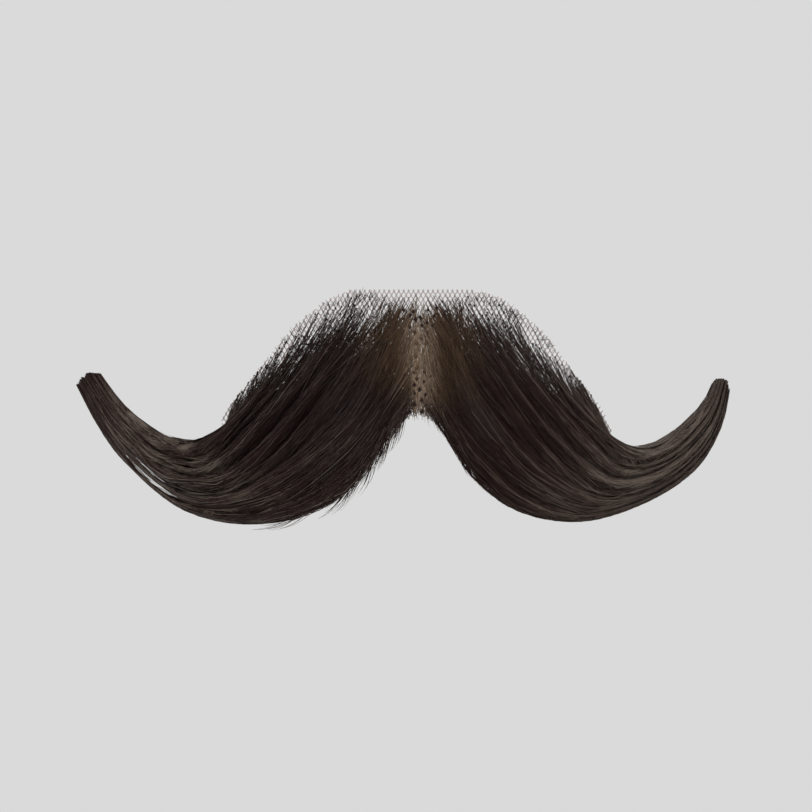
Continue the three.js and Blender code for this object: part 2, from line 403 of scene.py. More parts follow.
def between(tree, value, low, high):
    """0 where the value is at low and 1 where it is at high, eased in between."""
    made = node(tree, "ShaderNodeMapRange", interpolation_type="SMOOTHSTEP")
    tree.links.new(value, made.inputs["Value"])
    made.inputs["From Min"].default_value = low
    made.inputs["From Max"].default_value = high
    return made.outputs["Result"]


def add_times(tree, value, factor, more):
    """The value times a number, with another value added."""
    made = node(tree, "ShaderNodeMath", operation="MULTIPLY_ADD")
    tree.links.new(value, made.inputs[0])
    made.inputs[1].default_value = factor
    tree.links.new(more, made.inputs[2])
    return made.outputs[0]


HAIR_ROUGHNESS = 0.36
HAIR_GLOSS = 0.08
HAIR_GLOSS_TINT = (1.0, 0.82, 0.76)
# Painted light: between these two distances out from the brown height, the hair is painted lighter because
# the curls are more lit.
TIP_LIGHT_FROM, TIP_LIGHT_FULL = 18 * MM, 34 * MM
PARTING_SIDE, PARTING_CORE = 4.2 * MM, 0.3 * MM


def hair_material(name, brown_reach, tan_tone=2.0, tip_light_strength=0.5):
    """Hair colour: each hair's own tone from dark to lighter, with fine changes along it; in the combed hair
    that tone also carries painted highlights. On top of that, painted light makes the hair lighter on the
    whole towards the tips, where the curls are more lit. Within brown_reach of the brown height at x = 0 it
    turns brown, more so in hairs of a lighter tone and towards the parting, and tan in the lightest ones
    there."""
    colours = bpy.context.scene.moustache_colours
    material, tree, shader = new_material(name, HAIR_ROUGHNESS)
    shader.inputs["Specular IOR Level"].default_value = HAIR_GLOSS
    shader.inputs["Specular Tint"].default_value = rgba(HAIR_GLOSS_TINT)
    place = node(tree, "ShaderNodeTexCoord")
    flat = node(tree, "ShaderNodeVectorMath", operation="MULTIPLY")
    tree.links.new(place.outputs["Object"], flat.inputs[0])
    flat.inputs[1].default_value = (1, 0, 1)
    away = node(tree, "ShaderNodeVectorMath", operation="DISTANCE")
    tree.links.new(flat.outputs[0], away.inputs[0])
    away.inputs[1].default_value = (0, 0, BROWN_HEIGHT)
    tone = node(tree, "ShaderNodeAttribute", attribute_name="tone")
    grain = node(tree, "ShaderNodeTexNoise", Scale=900.0, Detail=2.0)
    tree.links.new(place.outputs["Object"], grain.inputs["Vector"])
    varied = add_times(tree, grain.outputs["Fac"], 0.4, tone.outputs["Fac"])
    # Painted light: the curls towards the tips are made lighter because they are more lit.
    tip_light = between(tree, away.outputs["Value"], TIP_LIGHT_FROM, TIP_LIGHT_FULL)
    varied = add_times(tree, tip_light, tip_light_strength, varied)
    plain = mix(tree, between(tree, varied, 0.45, 1.95), colours.hair_dark, colours.hair_light)
    leaning = node(tree, "ShaderNodeVectorMath", operation="DOT_PRODUCT")
    tree.links.new(place.outputs["Object"], leaning.inputs[0])
    leaning.inputs[1].default_value = (1, 0, PARTING_LEAN)
    aside = node(tree, "ShaderNodeMath", operation="SUBTRACT")
    tree.links.new(leaning.outputs["Value"], aside.inputs[0])
    aside.inputs[1].default_value = PARTING_FOOT
    either = node(tree, "ShaderNodeMath", operation="ABSOLUTE")
    tree.links.new(aside.outputs[0], either.inputs[0])
    parting = between(tree, either.outputs[0], PARTING_SIDE, PARTING_CORE)
    split = node(tree, "ShaderNodeSeparateXYZ")
    tree.links.new(place.outputs["Object"], split.inputs[0])
    high = between(tree, split.outputs["Z"], 11 * MM, 13.5 * MM)
    thin = add_times(tree, parting, 0.9, tone.outputs["Fac"])
    thin = between(tree, add_times(tree, high, -0.5, thin), 0.8, tan_tone)
    near = between(tree, away.outputs["Value"], brown_reach, brown_reach * 0.25)
    uneven = node(tree, "ShaderNodeMath", operation="MULTIPLY")
    tree.links.new(near, uneven.inputs[0])
    tree.links.new(between(tree, add_times(tree, parting, 1.0, varied), 0.1, 0.9), uneven.inputs[1])
    browned = mix(tree, uneven.outputs[0], plain, mix(tree, thin, colours.hair_brown, colours.hair_tan))
    tree.links.new(browned, shader.inputs["Base Color"])
    return material


LOOSE_BREADTH = 0.30
LOOSE_STRINGS = 2


def loose_edge(side, along):
    """How much of the left wing's lower edge hangs loose in strings, as a share of its breadth: most at seven
    tenths of the way to the tip, and none on the right wing."""
    if side > 0:
        return 0 * along
    return LOOSE_BREADTH * smooth((along - 0.55) / 0.12) * smooth((0.84 - along) / 0.10)


def bare_streak(side, across):
    """1 where a bare streak runs into the hair from the slope of the hairline, else 0: the peaks of the sum
    of two sines."""
    peaks = np.sin(2 * math.pi * 15 * across + side) + np.sin(2 * math.pi * 23 * across + 2)
    return smooth((peaks - 0.6) / 0.6) * smooth((across - 0.55) / 0.1)


def first_hair(side, across):
    """Where the long hair begins behind the hairline, as a share of the way to the tip: a sum of eased steps.
    It is furthest along where the hair runs beside the hairline instead of away from it, a little further
    between the top and the parting, and nearest the hairline at the foot of the slope."""
    most = 0.10 if side < 0 else 0.12
    beside = most * smooth((across - 0.45) / 0.2) * (1 - smooth((across - 0.72) / 0.25))
    top = 0.02 * smooth((across - 0.2) / 0.08) * (1 - smooth((across - 0.38) / 0.1))
    return 0.02 + beside + top - 0.03 * smooth((across - 0.92) / 0.06)


def last_hair(side, across):
    """Where the hair ends, as a share of the way to the tip: on the left wing at a straight cut with its
    upper corner taken off, and on the right one at a cut that falls off to both sides by a fourth power."""
    if side < 0:
        return 0.999 - 0.025 * np.clip((across - 0.72) / 0.28, 0, 1)
    return 0.992 - 0.035 * np.abs(2 * across - 1) ** 4


BODY_FRONT = 0.8
BODY_BACK = 0.12


def wing_body(side):
    """The close hair under the combed hairs: for each place along the wing, a ring that goes across the
    front at BODY_FRONT of the locks' height and back across at BODY_BACK of it. Both meet at the wing's two
    ends, where fans close it."""
    stations, across_front, across_back = 72, 96, 24
    share = np.concatenate([np.linspace(0, 1, across_front), np.linspace(1, 0, across_back)])[None]
    first = first_hair(side, share) + lerp(0.06, 0.13, smooth((share - 0.2) / 0.25))
    last = last_hair(side, share)
    along = lerp(first, last - 0.006, np.linspace(0, 1, stations)[:, None])
    high_inset = lerp(0.045, 0.02, smooth((along - 0.4) / 0.2))
    low_inset = 0.7 * high_inset + 1.15 * loose_edge(side, along)
    across = lerp(low_inset, 1 - high_inset, share)
    thin = smooth((along - first) / 0.16 + 0.01) * smooth((last - along) / 0.02)
    level = np.concatenate([np.full(across_front, BODY_FRONT), np.full(across_back, BODY_BACK)])[None]
    level = lerp(BODY_BACK, level, thin)
    level = level + np.concatenate([np.full(across_front, 0.01), np.zeros(across_back)])
    points = hair_point(side, across, along, level)
    around = points.shape[1]
    index = np.arange(stations * around).reshape(stations, around)
    after = np.roll(index, -1, axis=1)
    walls = np.stack([index[:-1], index[1:], after[1:], after[:-1]], axis=-1).reshape(-1, 4)
    middles = np.stack([points[0].mean(axis=0), points[-1].mean(axis=0)])
    root_middle, tip_middle = stations * around, stations * around + 1
    root_fan = np.stack([index[0], after[0], np.full(around, root_middle)], axis=-1)
    tip_fan = np.stack([after[-1], index[-1], np.full(around, tip_middle)], axis=-1)
    faces = [walls, np.concatenate([root_fan, tip_fan])]
    if side < 0:
        faces = [face[:, ::-1] for face in faces]
    u = np.arange(around + 1) / around
    v = np.linspace(0, 1, stations)
    wall_u = np.stack([u[:-1], u[:-1], u[1:], u[1:]], axis=-1)[None] + 0 * v[:-1, None, None]
    wall_v = np.stack([v[:-1], v[1:], v[1:], v[:-1]], axis=-1)[:, None] + 0 * u[None, :-1, None]
    wall_uv = np.stack([wall_u, wall_v], axis=-1).reshape(-1, 4, 2)
    fan_uv = np.full((2 * around, 3, 2), 0.5)
    if side < 0:
        wall_uv, fan_uv = wall_uv[:, ::-1], fan_uv[:, ::-1]
    uv = np.concatenate([wall_uv.reshape(-1, 2), fan_uv.reshape(-1, 2)])
    return np.concatenate([points.reshape(-1, 3), middles]), faces, uv


def body_material():
    """Close dark hair: streaks along the wing from a noise stretched down its length, in colour and
    relief."""
    colours = bpy.context.scene.moustache_colours
    material, tree, shader = new_material("close_hair", 0.5)
    shader.inputs["Specular IOR Level"].default_value = 0.15
    place = node(tree, "ShaderNodeUVMap", uv_map="OFBake")
    stretch = node(tree, "ShaderNodeMapping")
    stretch.inputs["Scale"].default_value = (420.0, 9.0, 1.0)
    tree.links.new(place.outputs["UV"], stretch.inputs["Vector"])
    streaks = node(tree, "ShaderNodeTexNoise", Scale=1.0, Detail=3.0)
    tree.links.new(stretch.outputs[0], streaks.inputs["Vector"])
    shade = between(tree, streaks.outputs["Fac"], 0.35, 0.8)
    colour = mix(tree, shade, [0.5 * part for part in colours.hair_dark], colours.hair_dark)
    tree.links.new(colour, shader.inputs["Base Color"])
    relief = node(tree, "ShaderNodeBump", Strength=0.8, Distance=0.00015)
    tree.links.new(streaks.outputs["Fac"], relief.inputs["Height"])
    tree.links.new(relief.outputs[0], shader.inputs["Normal"])
    return material


REACH_TIP = 0.45


def combed_paths(side, count, stations, low_level, high_level, draw):
    """Long combed hairs. Each starts on the lace, rises into the wing and follows the flow. Its tuft strays
    by a slow sine, and in the curl by a quicker one, it drifts a little by itself, and it gathers towards the
    tuft's middle. A share of REACH_TIP reaches the cut tip. Gives the paths, the tone at each point and how
    thick each hair's end is. The tone carries painted highlights that come and go along each tuft and are
    strongest in the curl."""
    tufts = 56
    edges = np.sort(np.concatenate([[0, 1], draw.random(tufts - 1)]))
    middles = (edges[1:] + edges[:-1]) / 2
    middles = (middles - middles[0]) / (middles[-1] - middles[0])
    across = draw.random(count)
    tuft = np.clip(np.searchsorted(edges, across) - 1, 0, tufts - 1)
    spread = lerp(0.26, 0.14, smooth((across - 0.8) / 0.15))
    start = first_hair(side, across) + spread * draw.random(count) ** 0.75 + 0.12 * bare_streak(side, across)
    full = draw.random(count) < REACH_TIP
    end = np.where(full, 1 + 0.009 * draw.random(count), 0.5 + 0.48 * draw.random(count))
    end = end * last_hair(side, across)
    share = np.linspace(0, 1, stations)
    along = start[:, None] + (end - start)[:, None] * share
    phase = 2 * math.pi * draw.random(tufts)[tuft][:, None]
    waves = (0.7 + 1.3 * draw.random(tufts))[tuft][:, None]
    sway = (0.004 + 0.022 * draw.random(tufts) ** 2)[tuft][:, None]
    curl_waves = (4.0 + 3.0 * draw.random(tufts))[tuft][:, None]
    curl_sway = (0.065 * draw.random(tufts) ** 1.5)[tuft][:, None]
    lift = (draw.random(tufts) - 0.5)[tuft][:, None]
    own = 2 * math.pi * draw.random((count, 1))
    drift = 0.10 * (draw.random((count, 1)) - 0.5)
    gather = (0.15 + 0.55 * draw.random(tufts))[tuft][:, None] * smooth((along - 0.15) / 0.5)
    gather = gather * (1 - 0.7 * smooth((along - 0.84) / 0.12))
    curl = smooth((along - 0.38) / 0.15) * smooth((0.92 - along) / 0.15)
    u = lerp(across[:, None], middles[tuft][:, None], gather)
    u = u + sway * np.sin(2 * math.pi * waves * along + phase) * smooth(share / 0.2)
    u = u + curl_sway * curl * np.sin(2 * math.pi * curl_waves * along + 2 * phase)
    u = u + 0.009 * np.sin(2 * math.pi * 3.1 * along + own) + drift * share
    level = lerp(low_level, high_level, draw.random((count, 1)) ** 0.7)
    level = level + 0.12 * lift * np.sin(2 * math.pi * waves * along + phase + 1.3)
    breadth = LOOSE_BREADTH / LOOSE_STRINGS
    mine = lerp(across, middles[tuft], 0.5)[:, None]
    string = (np.floor(mine / breadth) + 0.25) * breadth
    caught = (mine < LOOSE_BREADTH) & (draw.random((count, 1)) < 0.997)
    loose = loose_edge(side, along) / LOOSE_BREADTH * caught
    u = lerp(u, string, 0.75 * loose)
    u = np.maximum(u, loose_edge(side, along) * (mine >= LOOSE_BREADTH))
    level = lerp(level, 0.5, 0.7 * loose_edge(side, along) / LOOSE_BREADTH * (mine < LOOSE_BREADTH + 0.12))
    rise = smooth((along - start[:, None]) / 0.16 + 0.05)
    thin_edge = smooth((0.36 - along) / 0.12) * smooth((along - 0.04) / 0.06)
    low, high = (0.016 * thin_edge, 1.0) if side < 0 else (-0.008 * thin_edge, 1 - 0.020 * thin_edge)
    paths = hair_point(side, np.clip(u, low - 0.006, high), along, level * rise)
    # Painted highlights: each tuft gets light streaks along its length from a squared sine. They are
    # strongest in the curl and on the left wing, and they are added to the tone.
    highlight_waves = (3.0 + 2.5 * draw.random(tufts))[tuft][:, None]
    painted_highlight = np.sin(2 * math.pi * highlight_waves * along + 3 * phase) ** 2 * draw.random(tufts)[tuft][:, None]
    tone = (0.6 * draw.random(count) + 0.6 * (draw.random(count) < 0.12))[:, None]
    most, sharp = (3.4, 1.7) if side < 0 else (1.8, 1.8)
    tone = tone + lerp(0.25, most, curl) * painted_highlight**sharp
    return paths, tone, np.where(full, 0.95, 0.3)


def knots(side, draw):
    """Knots along the hairline: eight rows that follow the root line inwards, each knot strayed a little. The
    first is out on the lace. Gives each knot's place across the wing and along it."""
    rows, each = 8, 72
    across, row = np.meshgrid(1 - (1 - (np.arange(each) + 0.5) / each) ** 1.3, np.arange(rows) / (rows - 1))
    first = -0.004 * smooth((across - 0.3) / 0.2) - 0.03 * smooth((across - 0.5) / 0.5)
    first = first - 0.02 * smooth((across - 0.9) / 0.08)
    along = lerp(first, 0.13, row**0.9)
    across = across + (draw.random(across.shape) - 0.5) / each * 1.4
    along = along + 0.014 * draw.random(along.shape)
    kept = draw.random(row.shape) < 0.3 + 1.2 * row + smooth((across - 0.84) / 0.1) * (side < 0)
    kept &= draw.random(row.shape) > 0.8 * bare_streak(side, across)
    return np.clip(across[kept], 0.01, 0.99), along[kept]


def hairline_paths(side, draw):
    """Fine short hairs from the knots of the hairline: three from each, which fan out, lie low and then rise
    into the wing. Gives the paths and the knots' points."""
    across, along = knots(side, draw)
    points = hair_point(side, across, along, 0.0)
    across, along = np.repeat(across, 3), np.repeat(along, 3)
    count = len(across)
    share = np.linspace(0, 1, 6)
    length = 0.04 + 0.15 * draw.random(count) ** 1.3
    way = along[:, None] + length[:, None] * share
    fan = 0.03 * (np.arange(count) % 3 - 1) + 0.10 * (draw.random(count) - 0.5)
    fan = fan * lerp(1, 0.5, smooth((across - 0.5) / 0.15))
    place = across[:, None] + fan[:, None] * share
    level = 0.5 * draw.random((count, 1)) * share
    level = level + (0.1 + 0.4 * draw.random((count, 1))) * np.sin(math.pi * share)
    return hair_point(side, np.clip(place, -0.004, 1.006), way, level), points


def stub_paths(side, draw):
    """Short ends that stand up and out from the hairline's first rows, each turned its own way."""
    count = 190
    across = 0.12 + 0.72 * draw.random(count)
    x, z, _ = flow(side, across, 0.03 * draw.random(count))
    near_x, near_z, _ = flow(side, across - 0.01, np.zeros(count))
    here_x, here_z, _ = flow(side, across, np.zeros(count))
    away = np.arctan2(side * (here_x - near_x), side * (near_z - here_z))
    turn = away + 1.5 * (draw.random(count) - 0.5)
    length = (0.5 + 0.9 * draw.random(count)) * MM
    share = np.linspace(0, 1, 4)
    x = x[:, None] + (length * np.cos(turn))[:, None] * share
    z = z[:, None] + (length * np.sin(turn))[:, None] * share
    sizes = bpy.context.scene.moustache_sizes
    proud = sizes.lace_wall + 0.5 * MM * draw.random((count, 1)) * share
    return on_lip(x, z, proud, sizes.lace_wall)


def centre_paths(draw):
    """Short hairs between the wings. Each runs from its knot a along the arc (1-s)^2 a + 2s(1-s) b + s^2 c,
    with b below the knot. At the parting c hangs below too, and further out it lies in the wing. They get
    fewer towards the top of the parting."""
    sizes = bpy.context.scene.moustache_sizes
    count, stations = 3200, 7
    z = (0.4 + 16.2 * draw.random(count) ** 0.75) * MM
    offset = draw.random(count) * 2 - 1
    side = np.where(offset + 0.15 * (draw.random(count) - 0.5) < 0, -1, 1)
    u = np.linspace(0, 0.5, 60)
    place = 0.65 + 0.3 * draw.random(count)
    way = 0.08 + 0.16 * draw.random(count)
    level = 0.3 + 0.75 * draw.random(count)
    x = np.zeros(count)
    wing_end = np.zeros((count, 3))
    for hand in (-1, 1):
        line_x, line_z, _ = flow(hand, u, 0 * u)
        mine = side == hand
        x[mine] = offset[mine] * (np.interp(z[mine], line_z, np.abs(line_x)) + 1.6 * MM)
        across = np.interp(z[mine], line_z, u)
        wing_end[mine] = hair_point(hand, across * place[mine], way[mine], level[mine])
    x = x + 0.5 * MM
    drop = (1.6 + 2.6 * draw.random(count)) * MM * lerp(1, 0.5, smooth((z - 11 * MM) / (3 * MM)))
    drop = np.minimum(drop, z + (0.3 + 0.8 * draw.random(count)) * MM)
    spread = 0.9 * drop * (draw.random(count) - 0.5)
    knot = on_lip(x, z, sizes.lace_wall, sizes.lace_wall)
    below = on_lip(x + side * 0.06 * drop, z - drop / 2, sizes.lace_wall + 0.4 * MM, sizes.lace_wall)
    hanging = on_lip(x + spread, z - drop, sizes.lace_wall + 0.15 * MM, sizes.lace_wall)
    end = lerp(hanging, wing_end, smooth(np.abs(x) / (3.4 * MM))[:, None])
    s = np.linspace(0, 1, stations)[None, :, None]
    paths = (1 - s) ** 2 * knot[:, None] + 2 * s * (1 - s) * below[:, None] + s**2 * end[:, None]
    top = lerp(17.6 * MM, 16.9 * MM, smooth((np.abs(x - 0.6 * MM) - 1.2 * MM) / (1.8 * MM)))
    thinned = 0.98 * smooth((z - top + 4.6 * MM) / (4.8 * MM))
    kept = draw.random(count) > thinned
    return paths[kept]


CENTRE_KNOT_SIZE = 0.25 * MM


def centre_knots(draw):
    """Knots of the thin hair at the parting, in rows 0.8 mm apart with every second row set half a step
    aside, each strayed a little."""
    sizes = bpy.context.scene.moustache_sizes
    rows, each = 19, 4
    x, z = np.meshgrid(np.arange(each) * 1.7 * MM - 2.1 * MM, np.arange(rows) * 0.8 * MM - 0.2 * MM)
    x = x + 0.85 * MM * (np.arange(rows) % 2)[:, None] + PARTING_FOOT - PARTING_LEAN * z
    x, z = (line.ravel() + 0.55 * MM * (draw.random(line.size) - 0.5) for line in (x, z))
    return on_lip(x, z, sizes.lace_wall + 0.3 * MM, sizes.lace_wall)


# Families of stray hairs on each wing. A row is how many there are, the first and last place along where they
# leave, the same across, the shortest and longest length, how far they stray across and how far they lift.
SHARED_STRAYS = (
    (130, 0.08, 0.80, 0.12, 0.84, 0.10, 0.24, 0.070, 0.2),
    (130, 0.12, 0.80, 0.18, 0.95, 0.10, 0.24, -0.070, 0.2),
    (110, 0.00, 0.14, 0.97, 1.00, 0.07, 0.16, 0.011, 0.1),
)
LEFT_STRAYS = (
    (200, 0.03, 0.28, 0.00, 0.04, 0.04, 0.08, -0.034, 0.1),
    (16, 0.34, 0.40, 0.00, 0.02, 0.07, 0.10, -0.040, 0.1),
    (30, 0.20, 0.45, 0.95, 1.00, 0.08, 0.16, 0.020, 0.1),
    *SHARED_STRAYS,
    (110, -0.01, 0.05, 0.00, 0.12, 0.08, 0.14, -0.010, 0.0),
)
RIGHT_STRAYS = (
    (110, 0.01, 0.20, 0.00, 0.04, 0.03, 0.08, -0.012, 0.1),
    (25, 0.42, 0.85, 0.00, 0.04, 0.08, 0.16, -0.012, 0.1),
    (60, 0.10, 0.34, 0.975, 0.995, 0.07, 0.14, 0.005, 0.1),
    *SHARED_STRAYS,
    (24, -0.04, 0.00, 0.90, 0.97, 0.10, 0.20, 0.030, 0.1),
)


def edge_paths(side, draw):
    """Stray hairs of a wing. Each leaves the combed hair and strays across the wing, and out from it, by an
    eased step."""
    share = np.linspace(0, 1, 8)
    paths = []
    strays = LEFT_STRAYS if side < 0 else RIGHT_STRAYS
    for count, first, last, low, high, short, long, stray, lift in strays:
        start = lerp(first, last, draw.random(count))[:, None]
        across = lerp(low, high, draw.random(count))[:, None]
        length = lerp(short, long, draw.random(count))[:, None]
        strayed = stray * (0.3 + draw.random(count))[:, None]
        level = 0.6 + 0.4 * draw.random(count)[:, None] + lift * draw.random(count)[:, None] * smooth(share)
        along = np.minimum(start + length * share, 1.0)
        paths.append(hair_point(side, across + strayed * smooth(share), along, level))
    return np.concatenate(paths)


# The net ends where it gets lower than this, because a thread or two alone would hang loose.
LACE_END = 1.4 * MM
LACE_MARGIN = 0.9 * MM
LACE_FOOT_MARGIN = 0.35 * MM


def lace_outline():
    """The lace's upper and lower edge as x and z arrays from the left end to the right end. The upper edge
    runs outside the root line by a margin that narrows by an eased step down the slope. The lower edge runs
    inside the wings at the same share of the way to the tip, and comes up at the parting's foot."""
    run, inset, count = 0.28, 0.16, 60
    share = np.linspace(0, 1, count)
    margin = lerp(LACE_MARGIN, LACE_FOOT_MARGIN, smooth((share - 0.55) / 0.3))[:, None]
    edges = []
    for side in (-1, 1):
        across = 0.5 + 0.5 * share
        x, z, _ = flow(side, across, np.zeros(count))
        near_x, near_z, _ = flow(side, across - 0.01, np.zeros(count))
        away = unit(np.stack([side * (near_z - z), side * (x - near_x)], axis=-1))
        top = np.stack([x, z], axis=-1) + margin * away
        low_x, low_z, _ = flow(side, lerp(inset, 1, share), np.full(count, run))
        low = np.stack([low_x, low_z], axis=-1)
        top = np.concatenate([top, low[-1:]])
        edges.append((top, low))
    (left_top, left_low), (right_top, right_low) = edges
    apex_z = flow(1, np.zeros(1), np.zeros(1))[1] - LACE_MARGIN
    apex = np.stack([np.zeros(1), apex_z], axis=-1)
    top = np.concatenate([left_top[::-1], right_top])
    low = np.concatenate([left_low[::-1], apex, right_low])
    return top, low


def net_threads():
    """Threads of the lace. Each runs upwards and swings between its two neighbours by a flat-topped wave, so
    that it lies along one and then the other and leaves six-sided holes. The lace ends where it gets lower
    than LACE_END. Gives both ends of each stretch."""
    sizes = bpy.context.scene.moustache_sizes
    side = sizes.mesh_side
    pitch = side * math.sqrt(3) / 2
    top, low = lace_outline()
    x_first, x_last = low[0, 0], low[-1, 0]
    count = int((x_last - x_first) / pitch) + 1
    middles = x_first + pitch * np.arange(count)
    z_low, z_high = low[:, 1].min(), top[:, 1].max()
    corners = np.cumsum(np.tile([side, side / 2, side, side / 2], int((z_high - z_low) / side / 3) + 2))
    z = z_low + np.concatenate([[0], corners])
    swing = np.tile([1, 1, -1, -1], len(z) // 4 + 1)[: len(z)]
    touch = 0.5 - 0.45 * sizes.thread / pitch
    sign = np.where(np.arange(count) % 2, -1, 1)
    x = middles[:, None] + pitch * touch * sign[:, None] * swing[None]
    z = np.broadcast_to(z, x.shape)
    start = np.stack([x[:, :-1], z[:, :-1]], axis=-1).reshape(-1, 2)
    end = np.stack([x[:, 1:], z[:, 1:]], axis=-1).reshape(-1, 2)
    middle = (start + end) / 2
    upper = np.interp(middle[:, 0], top[:, 0], top[:, 1])
    lower = np.interp(middle[:, 0], low[:, 0], low[:, 1])
    inside = (middle[:, 1] < upper) & (middle[:, 1] > lower) & (upper - lower > LACE_END)
    return start[inside], end[inside]


def lace_material():
    """Lace thread: flesh colour that varies a little from thread to thread, with a fine twist in relief."""
    colours = bpy.context.scene.moustache_colours
    material, tree, shader = new_material("lace_thread", 0.7)
    place = node(tree, "ShaderNodeTexCoord")
    cloudy = node(tree, "ShaderNodeTexNoise", Scale=400.0, Detail=3.0)
    tree.links.new(place.outputs["Object"], cloudy.inputs["Vector"])
    shade = between(tree, cloudy.outputs["Fac"], 0.3, 0.7)
    colour = mix(tree, shade, [0.8 * part for part in colours.lace], colours.lace)
    tree.links.new(colour, shader.inputs["Base Color"])
    twist = node(tree, "ShaderNodeTexNoise", Scale=9000.0)
    tree.links.new(place.outputs["Object"], twist.inputs["Vector"])
    relief = node(tree, "ShaderNodeBump", Strength=0.4, Distance=0.00003)
    tree.links.new(twist.outputs["Fac"], relief.inputs["Height"])
    tree.links.new(relief.outputs[0], shader.inputs["Normal"])
    shader.inputs["Sheen Weight"].default_value = 0.2
    return material


class MOUSTACHE_OT_lace(bpy.types.Operator):
    """Make the lace net that the hair is knotted on"""

    bl_idname = "moustache.lace"
    bl_label = "Make lace"

    def execute(self, context):
        sizes = context.scene.moustache_sizes
        start, end = net_threads()
        proud = sizes.lace_wall - sizes.thread / 2
        ends = np.stack([start, end], axis=1)
        paths = on_lip(ends[..., 0], ends[..., 1], proud, sizes.lace_wall)
        radii = np.full(paths.shape[:2], sizes.thread / 2)
        points, faces, uv = tubes(paths, radii, THREAD_SIDES)
        piece = add_piece("lace_net", points, faces, lace_material(), uv)
        top, low = lace_outline()
        x = np.linspace(low[0, 0], low[-1, 0], 400)
        tall = np.interp(x, top[:, 0], top[:, 1]) - np.interp(x, low[:, 0], low[:, 1])
        x, tall = x[tall > LACE_END], tall[tall > LACE_END]
        steps = np.linalg.norm(np.diff(on_lip(x, 0 * x, 0, 0), axis=0), axis=1)
        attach(piece, BODY)
        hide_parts("lace_base")
        return {"FINISHED"}


class MOUSTACHE_OT_close_hair(bpy.types.Operator):
    """Make the close under-hair of both wings"""

    bl_idname = "moustache.close_hair"
    bl_label = "Make close hair"

    def execute(self, context):
        material = body_material()
        for side, word in ((-1, "left"), (1, "right")):
            points, faces, uv = wing_body(side)
            piece = add_piece(f"close_hair_{word}", points, faces, material, uv)
            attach(piece, BODY)
            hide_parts(f"hair_wing_{word}")
        return {"FINISHED"}


class MOUSTACHE_OT_combed_hair(bpy.types.Operator):
    """Make the long combed hairs of both wings, in an under and an over layer"""

    bl_idname = "moustache.combed_hair"
    bl_label = "Make combed hair"

    def execute(self, context):
        sizes = context.scene.moustache_sizes
        layers = (("under", 0.02, 0.8, 1, 0.5, 12), ("over", 0.78, 1.03, 2, 1.0, 16))
        # How strongly each wing's curls are painted lighter because they are more lit.
        for side, word, tip_light in ((-1, "left", 0.10), (1, "right", 0.50)):
            material = hair_material(f"combed_hair_{word}", brown_reach=9 * MM, tip_light_strength=tip_light)
            for layer, low, high, number, share, stations in layers:
                draw = np.random.default_rng(10 * number + side)
                paths, tone, ends = combed_paths(side, int(share * sizes.hairs), stations, low, high, draw)
                thickness = sizes.hair * lerp(0.8, 1.2, draw.random(len(paths)))
                hair_piece(f"{layer}_hair_{word}", paths, thickness, tone, material, ends)
        return {"FINISHED"}


class MOUSTACHE_OT_hairline(bpy.types.Operator):
    """Make the knots and single hairs along the wings' upper edges"""

    bl_idname = "moustache.hairline"
    bl_label = "Make hairline"

    def execute(self, context):
        sizes = context.scene.moustache_sizes
        material = hair_material("hairline_hair", brown_reach=11 * MM)
        for side, word in ((-1, "left"), (1, "right")):
            draw = np.random.default_rng(40 + side)
            paths, places = hairline_paths(side, draw)
            thickness = sizes.hair * lerp(0.45, 0.85, draw.random(len(paths)))
            tone = 1.1 * draw.random(len(paths))
            hair_piece(f"hairline_{word}", paths, thickness, tone, material)
            knot_piece(f"knots_{word}", places, material, draw)
            stubs = stub_paths(side, draw)
            thickness = sizes.hair * lerp(0.5, 0.8, draw.random(len(stubs)))
            tone = 0.8 * draw.random(len(stubs))
            hair_piece(f"short_ends_{word}", stubs, thickness, tone, material)
        return {"FINISHED"}


class MOUSTACHE_OT_centre_hair(bpy.types.Operator):
    """Make the short thin hair beside the parting"""

    bl_idname = "moustache.centre_hair"
    bl_label = "Make centre hair"

    def execute(self, context):
        sizes = context.scene.moustache_sizes
        draw = np.random.default_rng(70)
        material = hair_material("parting_hair", brown_reach=15 * MM, tan_tone=1.5)
        paths = centre_paths(draw)
        thickness = sizes.hair * lerp(0.6, 1.0, draw.random(len(paths)))
        tone = draw.random(len(paths))
        piece = hair_piece("parting_hair", paths, thickness, tone, material)
        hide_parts("centre_hair")
        material = hair_material("knot_hair", brown_reach=5 * MM, tan_tone=4.0)
        knot_piece("knots_centre", centre_knots(draw), material, draw, CENTRE_KNOT_SIZE)
        return {"FINISHED"}


class MOUSTACHE_OT_stray_hair(bpy.types.Operator):
    """Make the stray hairs at the wings' edges"""

    bl_idname = "moustache.stray_hair"
    bl_label = "Make stray hair"

    def execute(self, context):
        sizes = context.scene.moustache_sizes
        material = hair_material("stray_hair", brown_reach=9 * MM)
        for side, word in ((-1, "left"), (1, "right")):
            draw = np.random.default_rng(90 + side)
            paths = edge_paths(side, draw)
            thickness = sizes.hair * lerp(0.5, 0.95, draw.random(len(paths)))
            tone = 0.2 + 1.0 * draw.random(len(paths)) ** 2
            hair_piece(f"stray_hair_{word}", paths, thickness, tone, material)
        return {"FINISHED"}


FLOOR_HALF = 2.0
FLOOR_HEIGHT = -0.17
CAMERA_ASIDE = -1.7 * MM
CAMERA_HEIGHT = 0.6 * MM
# Each lamp's name, place, size and power. All of them face the moustache.
LAMPS = (
    ("key", (-0.55, -0.9, 0.75), 0.5, 14.0),
    ("fill", (0.8, -0.8, 0.25), 0.7, 7.0),
    ("rim", (0.2, 0.7, 0.8), 0.5, 2.0),
)


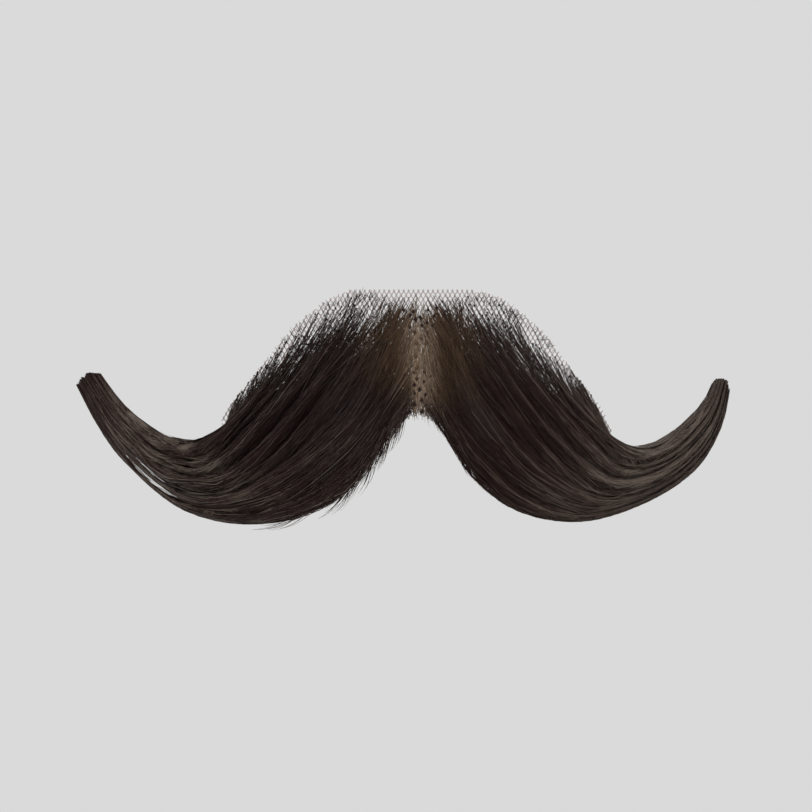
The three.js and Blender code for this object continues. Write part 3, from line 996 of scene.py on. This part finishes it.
class MOUSTACHE_OT_stage(bpy.types.Operator):
    """Make the floor, the lights and the camera"""

    bl_idname = "moustache.stage"
    bl_label = "Make stage"

    def execute(self, context):
        scene = context.scene
        sizes, colours = scene.moustache_sizes, scene.moustache_colours
        corners = ((-1, -1), (1, -1), (1, 1), (-1, 1))
        square = np.array([(FLOOR_HALF * x, FLOOR_HALF * y, FLOOR_HEIGHT) for x, y in corners])
        material, _, shader = new_material("pale_floor", 0.9)
        shader.inputs["Base Color"].default_value = rgba(colours.floor)
        floor = add_piece("floor", square, [np.array([[0, 1, 2, 3]])], material, square[:, :2])
        world = bpy.data.worlds.new("studio")
        scene.world = world
        world.use_nodes = True
        background = world.node_tree.nodes["Background"]
        background.inputs["Color"].default_value = rgba(colours.backdrop)
        background.inputs["Strength"].default_value = 1.0
        for name, place, size, power in LAMPS:
            data = bpy.data.lights.new(name, "AREA")
            data.shape, data.size, data.energy = "DISK", size, power
            lamp = bpy.data.objects.new(name, data)
            lamp.location = place
            lamp.rotation_mode = "QUATERNION"
            lamp.rotation_quaternion = (-lamp.location).to_track_quat("-Z", "Y")
            scene.collection.objects.link(lamp)
        camera = bpy.data.objects.new("camera", bpy.data.cameras.new("camera"))
        camera.data.sensor_width = 36.0
        camera.data.lens = camera.data.sensor_width * sizes.view_distance / sizes.view_width
        camera.location = (CAMERA_ASIDE, -sizes.view_distance, CAMERA_HEIGHT)
        camera.rotation_euler = (math.pi / 2, 0, 0)
        scene.collection.objects.link(camera)
        scene.camera = camera
        scene.view_settings.view_transform = "Standard"
        return {"FINISHED"}


class MOUSTACHE_PT_panel(bpy.types.Panel):
    """Sizes, colours and the steps that make the moustache"""

    bl_idname = "MOUSTACHE_PT_panel"
    bl_label = "Moustache"
    bl_space_type = "VIEW_3D"
    bl_region_type = "UI"
    bl_category = "Moustache"

    def draw(self, context):
        for group in (context.scene.moustache_sizes, context.scene.moustache_colours):
            for key in group.bl_rna.properties.keys():
                if key not in ("rna_type", "name"):
                    self.layout.prop(group, key)
        for operator in OPERATORS:
            self.layout.operator(operator.bl_idname)


OPERATORS = (
    MOUSTACHE_OT_lace,
    MOUSTACHE_OT_close_hair,
    MOUSTACHE_OT_combed_hair,
    MOUSTACHE_OT_hairline,
    MOUSTACHE_OT_centre_hair,
    MOUSTACHE_OT_stray_hair,
    MOUSTACHE_OT_stage,
)
CLASSES = (MoustacheSizes, MoustacheColours, *OPERATORS, MOUSTACHE_PT_panel)


def register():
    for each in CLASSES:
        bpy.utils.register_class(each)
    bpy.types.Scene.moustache_sizes = PointerProperty(type=MoustacheSizes)
    bpy.types.Scene.moustache_colours = PointerProperty(type=MoustacheColours)


def unregister():
    del bpy.types.Scene.moustache_colours
    del bpy.types.Scene.moustache_sizes
    for each in reversed(CLASSES):
        bpy.utils.unregister_class(each)


def main():
    register()
    bpy.ops.moustache.lace()
    bpy.ops.moustache.close_hair()
    bpy.ops.moustache.combed_hair()
    bpy.ops.moustache.hairline()
    bpy.ops.moustache.centre_hair()
    bpy.ops.moustache.stray_hair()
    bpy.ops.moustache.stage()


if __name__ == "__main__":
    main()
